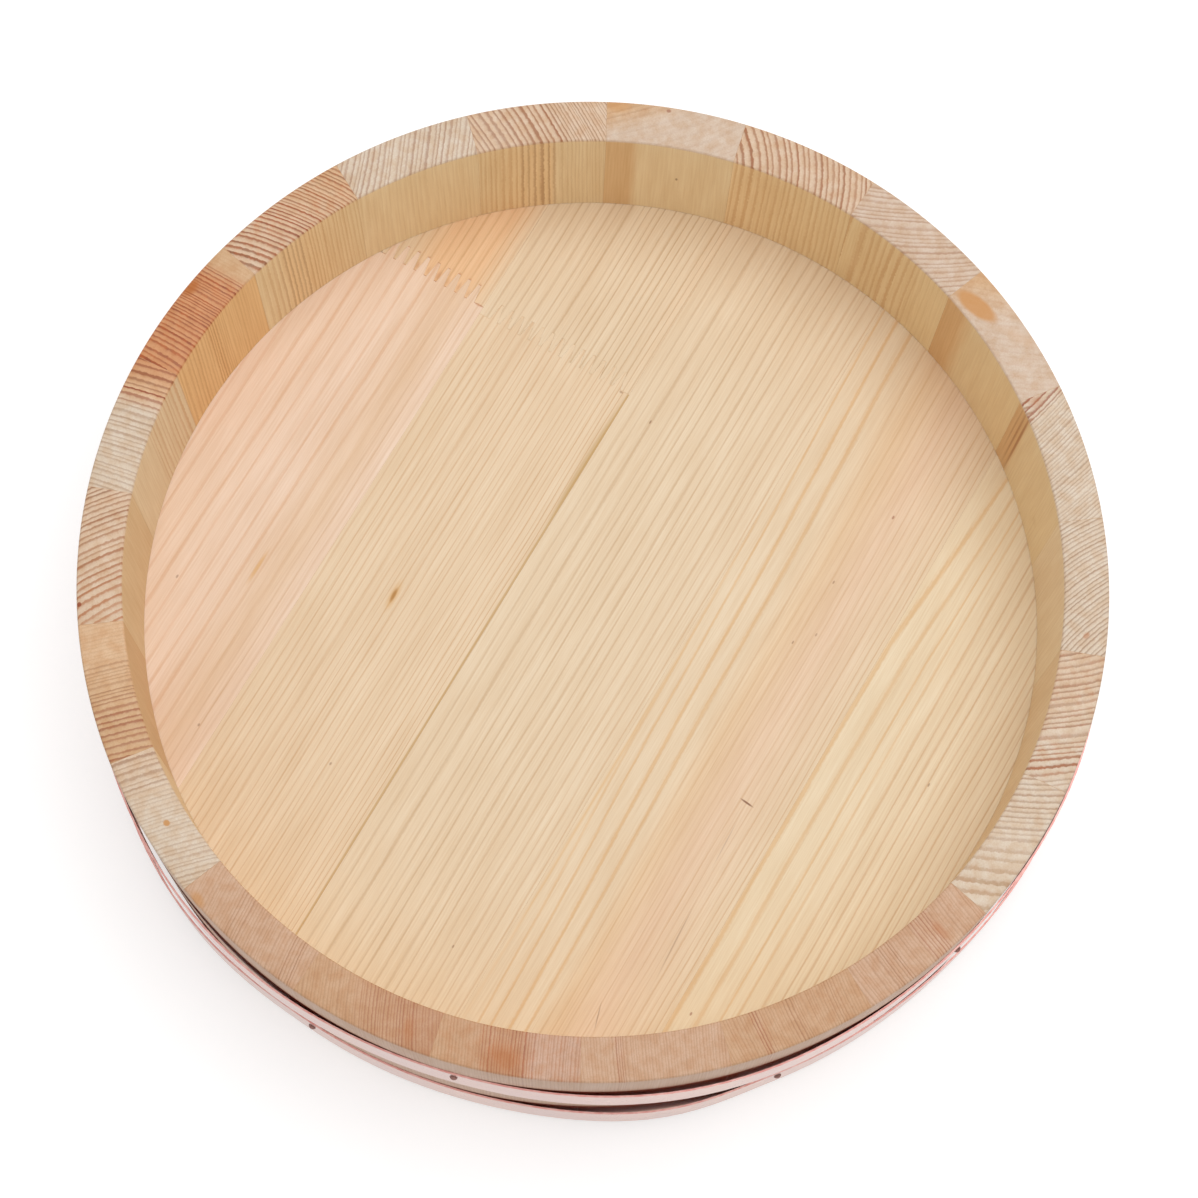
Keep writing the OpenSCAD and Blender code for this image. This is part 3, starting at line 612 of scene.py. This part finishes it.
# Each strip: the middle of its wood and how far its tones reach to either side, then its wood as the
# staves' lists give it. Places across are measured from the tub's middle, from left to right, and
# places along from front to back.
floor_strips = [
    ("floor_edge_front", -118.9, 33.5, dict(
        spacing=[(-150, 5.6), (-106, 5.2), (-96, 3.6), (-86, 2.6)],
        ground=[(-150, "floor peach"), (-112, "floor peach"), (-96, "floor pink"),
                (-86, "floor peach")],
        lines=[(-150, "rosy line", 0.4), (-106, "rosy line", 0.36), (-96, "line", 0.36),
               (-86, "line", 0.36)],
        marks=[((-103.5, 0, -42), (1, 3, 9), (0, 0, 0), "amber line", 0.6, 0.8),
               ((-124.7, 0, -58.2), (0.5, 1, 0.9), (0, 0, 0), "knot", 0.45, 0.6),
               ((-91.6, 0, -98), (0.5, 1, 0.8), (0, 0, 0), "knot", 0.45, 0.6),
               ((-87.8, 0, 75.5), (1.9, 2, 0.4), (0, 0, 0), "soaked", 0.5, 0.7)])),
    ("floor_edge_back", -118.9, 33.5, dict(
        spacing=[(-120, 3.4), (-86, 2.6)],
        ground=[(-118, "floor straw"), (-109, "floor deep"), (-94, "floor deep"), (-86, "floor straw")],
        lines=[(-120, "line", 0.51), (-86, "line", 0.51)],
        marks=[((-113.1, 0, 77.6), (0.9, 2, 2.6), (0, 0, 0), "soaked", 0.55, 1),
               ((-109.1, 0, 78), (0.8, 2, 2.4), (0, 0, 0), "soaked", 0.35, 1),
               ((-105.1, 0, 78), (1.1, 2, 3), (0, 0, 0), "soaked", 0.6, 1),
               ((-101.1, 0, 77.5), (0.9, 2, 2.4), (0, 0, 0), "soaked", 0.3, 1),
               ((-97.1, 0, 78), (0.9, 2, 2.8), (0, 0, 0), "soaked", 0.45, 1),
               ((-93.1, 0, 77.4), (0.8, 2, 2.2), (0, 0, 0), "soaked", 0.35, 1),
               ((-115.1, 0, 82.4), (0.9, 2, 0.6), (0, 0, 0), "soaked", 0.35, 1),
               ((-111.1, 0, 82.4), (0.8, 2, 0.6), (0, 0, 0), "soaked", 0.35, 1),
               ((-99.1, 0, 82.4), (0.8, 2, 0.7), (0, 0, 0), "soaked", 0.35, 1),
               ((-95.1, 0, 82.4), (0.8, 2, 0.7), (0, 0, 0), "soaked", 0.35, 1),
               ((-91.1, 0, 82.4), (0.9, 2, 0.7), (0, 0, 0), "soaked", 0.35, 1),
               ((-87.8, 0, 75.8), (1.9, 2, 0.5), (0, 0, 0), "soaked", 0.5, 0.7)])),
    ("floor_second_front", -56.8, 30, dict(
        spacing=[(-86, 2.6), (-60, 2.3), (-44, 2.0), (-28, 1.5)],
        ground=[(-86, "floor straw"), (-28, "floor straw")],
        lines=[(-86, "line", 0.45), (-50, "line", 0.53), (-28, "line", 0.61)],
        marks=[((-59.6, 0, -27.7), (0.9, 2, 3.6), (0, -4, 0), "knot", 0.9, 0.7),
               ((-59.6, 0, -27.7), (2.2, 3, 7.5), (0, -4, 0), "amber line", 0.5, 0.9),
               ((-47.7, 0, -87.6), (0.5, 1, 0.8), (0, 0, 0), "knot", 0.45, 0.6),
               ((-28.4, 0, 44), (1.5, 2, 32), (0, 0, 0), "glue", 0.55, 0.7),
               ((-27.85, 0, -30), (0.65, 2, 400), (0, 0, 0), "glue", 0.68, 0.7),
               ((-30.4, 0, 72.7), (1, 2, 0.6), (0, 0, 0), "brown", 0.5, 0.7)])),
    ("floor_second_back", -56.8, 30, dict(
        spacing=[(-86, 3.4), (-60, 2.8), (-28, 2.2)],
        ground=[(-86, "floor pale"), (-34, "floor pale"), (-30, "floor straw")],
        lines=[(-86, "brown line", 0.46), (-60, "brown line", 0.5), (-30, "brown line", 0.59)])),
    ("floor_middle", 1.7, 30, dict(
        spacing=[(-28, 3.8), (0, 3.4), (31, 2.7)], ground=[(-28, "floor pale"), (31, "floor pale")],
        lines=[(-28, "brown line", 0.39), (0, "brown line", 0.43), (31, "line", 0.43)],
        marks=[((-16.6, 0, 68.3), (0.4, 1, 1), (0, 0, 0), "knot", 0.6, 0.6),
               ((17.7, 0, -119.8), (0.4, 1, 0.8), (0, 0, 0), "knot", 0.5, 0.6)])),
    ("floor_fourth", 60.2, 30, dict(
        sway=(-145, 145, -4.6, 4.6, 44, 64),
        spacing=[(31, 6.0), (50, 5.6), (56, 3.0), (69, 2.5), (89, 2.2)],
        ground=[(31, "floor pale"), (38, "floor pale"), (50, "floor pale"), (58, "floor tan"),
                (70, "floor pink"), (89, "floor pale")],
        lines=[(31, "amber line", 0.5), (48, "amber line", 0.5), (54, "line", 0.38), (68, "line", 0.38),
               (89, "line", 0.5)],
        marks=[((32.4, 0, -60), (0.9, 2, 110), (0, 0, 0), "amber line", 0.4, 1),
               ((76, 0, -30.7), (3.2, 1, 0.45), (0, 6, 0), "knot", 0.85, 0.6),
               ((76.6, 0, -46), (0.35, 1, 11), (0, -2, 0), "knot", 0.3, 0.9),
               ((78.6, 0, -82), (0.4, 1, 17), (0, -3, 0), "knot", 0.4, 0.9),
               ((69.2, 0, -116), (0.35, 1, 6.2), (0, -16, 0), "knot", 0.5, 0.9),
               ((70.2, 0, 79.8), (0.5, 1, 1), (0, 0, 0), "red", 0.6, 0.6),
               ((62.4, 0, 24.7), (0.4, 1, 0.9), (0, 0, 0), "knot", 0.5, 0.6),
               ((64, 0, 49.8), (0.4, 1, 0.9), (0, 0, 0), "knot", 0.5, 0.6),
               ((67.8, 0, 30.9), (0.4, 1, 0.9), (0, 0, 0), "knot", 0.4, 0.6)])),
    ("floor_far_edge", 120.6, 32, dict(
        sway=(40, 112, 0, -7.5, 92, 114),
        spacing=[(89, 6.6), (104, 5.8), (115, 4.0), (126, 2.9), (150, 2.1)],
        ground=[(89, "floor white"), (125, "floor white")],
        lines=[(89, "amber line", 0.47), (107, "amber line", 0.51), (116, "line", 0.58),
               (150, "line", 0.62)],
        marks=[((94.6, 0, -100.5), (0.5, 1, 0.9), (0, 0, 0), "red", 0.6, 0.6),
               ((124.4, 0, 4.5), (0.4, 1, 1), (0, 0, 0), "knot", 0.5, 0.6)])),
]
for name, middle, reach, board in floor_strips:
    wood = pine("pine " + name.replace("_", " "), place=place_at(strips_turn, middle, 0, floor_top),
                turn=strips_turn, tip=-90, reach=reach, middle=middle, lean=12, late_share=0.2,
                wobble=0.1, **board)
    finish_solid(name, wood)


# The glue in the floor's two finger joints: it fills the short gaps at the tips of the fingers and
# at their shoulders, and has dried redder in the edge strip than in the second one.
strip_width = 58.5
edge_joint = -86.05
second_joint = edge_joint + strip_width

# Each finger joint: the long joint on its right, how far back its fingers start, how many there are,
# the long joint that cuts off the last of them, and the glue's two tones.
fingers_glue = [
    ("floor_edge_glue", edge_joint, 75.62, 10, None, "#b87850", "#d89c70"),
    ("floor_second_glue", second_joint, 73.05, 13, edge_joint, "#dcb88c", "#ecd0a8"),
]
finger_pitch = 4
finger_length = 6.4
shoulder = 3.6
tip_width = 1
tip_gap = 0.2
seen_radius = 147
glue_foot = 22.05
glue_top = 33.97
glue_inset = 0.02
for name, joint, root, count, far_joint, dark, pale in fingers_glue:
    gaps = [(joint - shoulder, joint - glue_inset, root)]
    for n in range(count):
        finger = joint - shoulder - finger_pitch * n
        gaps.append((finger - 2 * tip_width, finger - tip_width, root + finger_length))
        gaps.append((finger - 4 * tip_width, finger - 3 * tip_width, root))
    if far_joint:
        gaps[-1] = (far_joint + glue_inset, gaps[-1][1], root)
    solid = bmesh.new()
    for gap_left, gap_right, gap_front in gaps:
        left, right = gap_left + glue_inset, gap_right - glue_inset
        front, back = gap_front + glue_inset, gap_front + tip_gap - glue_inset
        corners = [(left, front), (right, front), (right, back), (left, back)]
        if max(math.hypot(*corner) for corner in corners) <= seen_radius:
            slab(solid, [place_at(strips_turn, across, along, glue_foot) for across, along in corners],
                 push=(0, 0, (glue_top - glue_foot) * mm))
    bmesh.ops.recalc_face_normals(solid, faces=solid.faces)
    strip = name.removesuffix("_glue").replace("_", " ")
    glue = new_piece(name, solid, dried_glue(f"dried glue in {strip} fingers", dark, pale))
    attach(glue, "root")


# The glue between the floor's strips: a dried film in each of the four long joints, as deep as the
# floor and planed flush with it. It is shorter where the floor is bevelled from below.
strip_joints = 4
strip_film = 0.04
film_ends = [(140.7, 22.1), (146.6, 26.6), (147.3, 33.97)]
solid = bmesh.new()
for n in range(strip_joints):
    joint = edge_joint + strip_width * n
    half = [(math.sqrt(radius ** 2 - joint ** 2), up) for radius, up in film_ends]
    outline = half + [(-along, up) for along, up in reversed(half)]
    slab(solid, [place_at(strips_turn, joint - strip_film / 2, along, up) for along, up in outline],
         push=place_at(strips_turn, strip_film, 0, 0))
bmesh.ops.recalc_face_normals(solid, faces=solid.faces)
strip_glue = new_piece("strip_glue", solid, joint_glue)
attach(strip_glue, "root")


# The hoops: two bands of bright copper sheet, nailed round the tapering wall and sprung a little off
# it between their nails. Outside, handling and air leave them a little smudged and greyed. Inside
# the copper keeps its clean red. Their cut edges are paler: partly the cut metal, partly a painted
# highlight along the edges.

# Rolled and polished sheet shines softly, with smudges about 30 mm wide and shallow dents about
# 17 mm wide. The marks of rolling run round the hoop. They are too fine to show, so they are drawn
# 1.4 mm apart and 50 mm long.
copper_sheet = bpy.data.materials.new("polished copper sheet")
tree = new_tree(copper_sheet)
here = add(tree, "ShaderNodeTexCoord", out="Object")
smudge = add(tree, "ShaderNodeTexNoise", {"Vector": here, "Scale": 35.0, "Detail": 4.0})
colour = add(tree, "ShaderNodeValToRGB", {0: smudge},
             stops=[(0.35, linear("#c8a298")), (0.65, linear("#dabbb0"))])
gloss = add(tree, "ShaderNodeMapRange", {
    "Value": smudge, "From Min": 0.3, "From Max": 0.7, "To Min": 0.18, "To Max": 0.3})
rolling = add(tree, "ShaderNodeMapping", {"Vector": here, "Scale": (20, 20, 700)})
rolling = add(tree, "ShaderNodeTexNoise", {"Vector": rolling, "Scale": 1.0, "Detail": 2.0})
dent = add(tree, "ShaderNodeTexNoise", {"Vector": here, "Scale": 60.0, "Detail": 1.0})
relief = add(tree, "ShaderNodeMath", {0: dent, 1: 6.0, 2: rolling}, operation="MULTIPLY_ADD")
relief = add(tree, "ShaderNodeBump", {"Height": relief, "Strength": 0.15, "Distance": 0.1 * mm})
surface = add(tree, "ShaderNodeBsdfPrincipled", {
    "Base Color": colour, "Metallic": 1.0, "Roughness": gloss, "Normal": relief})
add(tree, "ShaderNodeOutputMaterial", {"Surface": surface})


def copper(name, spots, detail, dark, pale, roughness):
    """Plain copper in two tones, with so many spots of them to the metre."""
    material = bpy.data.materials.new(name)
    tree = new_tree(material)
    here = add(tree, "ShaderNodeTexCoord", out="Object")
    tone = add(tree, "ShaderNodeTexNoise", {"Vector": here, "Scale": spots, "Detail": detail})
    colour = add(tree, "ShaderNodeValToRGB", {0: tone},
                 stops=[(0.35, linear(dark)), (0.65, linear(pale))])
    surface = add(tree, "ShaderNodeBsdfPrincipled", {
        "Base Color": colour, "Metallic": 1.0, "Roughness": roughness})
    add(tree, "ShaderNodeOutputMaterial", {"Surface": surface})
    return material


# Inside, the sheet is as red and glossy as new, in patches 20 mm wide. Its sheared edge is matt, and
# paler than the sheet in bits of about 2.5 mm: partly the shears' burr, partly a painted highlight.
clean_copper = copper("clean copper, inside", 50.0, 4.0, "#f09c84", "#f8b49c", 0.25)
cut_edge_with_highlight = copper("cut edge of the copper, painted paler as a highlight", 400.0, 2.0, "#ecb0aa", "#f8cec8", 0.6)

# A hoop's faces are sorted by the way they face: inwards for the clean copper, and up or down for the
# cut edge. The rest keep the sheet. A face counts where it is turned less than about 45 degrees from
# there, of which well_turned is the cosine.
well_turned = 0.7
two_sides = bpy.data.node_groups.new("inner side and edges", "GeometryNodeTree")
two_sides.is_modifier = True
two_sides.interface.new_socket("Geometry", in_out="INPUT", socket_type="NodeSocketGeometry")
two_sides.interface.new_socket("Geometry", in_out="OUTPUT", socket_type="NodeSocketGeometry")
band = add(two_sides, "NodeGroupInput")
position = add(two_sides, "GeometryNodeInputPosition")
normal = add(two_sides, "GeometryNodeInputNormal")
outward = add(two_sides, "ShaderNodeVectorMath", {0: position, 1: (1, 1, 0)}, operation="MULTIPLY")
outward = add(two_sides, "ShaderNodeVectorMath", {0: outward}, operation="NORMALIZE")
outward = add(two_sides, "ShaderNodeVectorMath", {0: outward, 1: normal}, out="Value",
              operation="DOT_PRODUCT")
inner_side = add(two_sides, "FunctionNodeCompare", {0: outward, 1: -well_turned},
                 operation="LESS_THAN")
band = add(two_sides, "GeometryNodeSetMaterialIndex", {
    "Geometry": band, "Selection": inner_side, "Material Index": 1})
# Faces turned up or down take the cut edge's copper, which is painted paler as a highlight.
upward = add(two_sides, "ShaderNodeSeparateXYZ", {0: normal}, out="Z")
upward = add(two_sides, "ShaderNodeMath", {0: upward}, operation="ABSOLUTE")
cut = add(two_sides, "FunctionNodeCompare", {0: upward, 1: well_turned}, operation="GREATER_THAN")
band = add(two_sides, "GeometryNodeSetMaterialIndex", {
    "Geometry": band, "Selection": cut, "Material Index": 2})
add(two_sides, "NodeGroupOutput", {0: band})
for name in ("upper_hoop", "lower_hoop"):
    nodes[name].modifiers.new("inner side and edges", "NODES").node_group = two_sides
    finish_solid(name, copper_sheet)
    nodes[name].data.materials.append(clean_copper)
    nodes[name].data.materials.append(cut_edge_with_highlight)


# The nails: small round-headed copper nails that pin each hoop to the staves through holes in it.
# Drawn wire is dull, with spots of scale about 1 mm wide. Its dark brown is partly browning in the
# air and partly painted shade round the heads.
nail_tarnish_and_shade = copper("drawn copper wire", 900.0, 3.0, "#74524a", "#946e66", 0.5)
for name in ("upper_nails", "lower_nails"):
    finish_solid(name, nail_tarnish_and_shade)
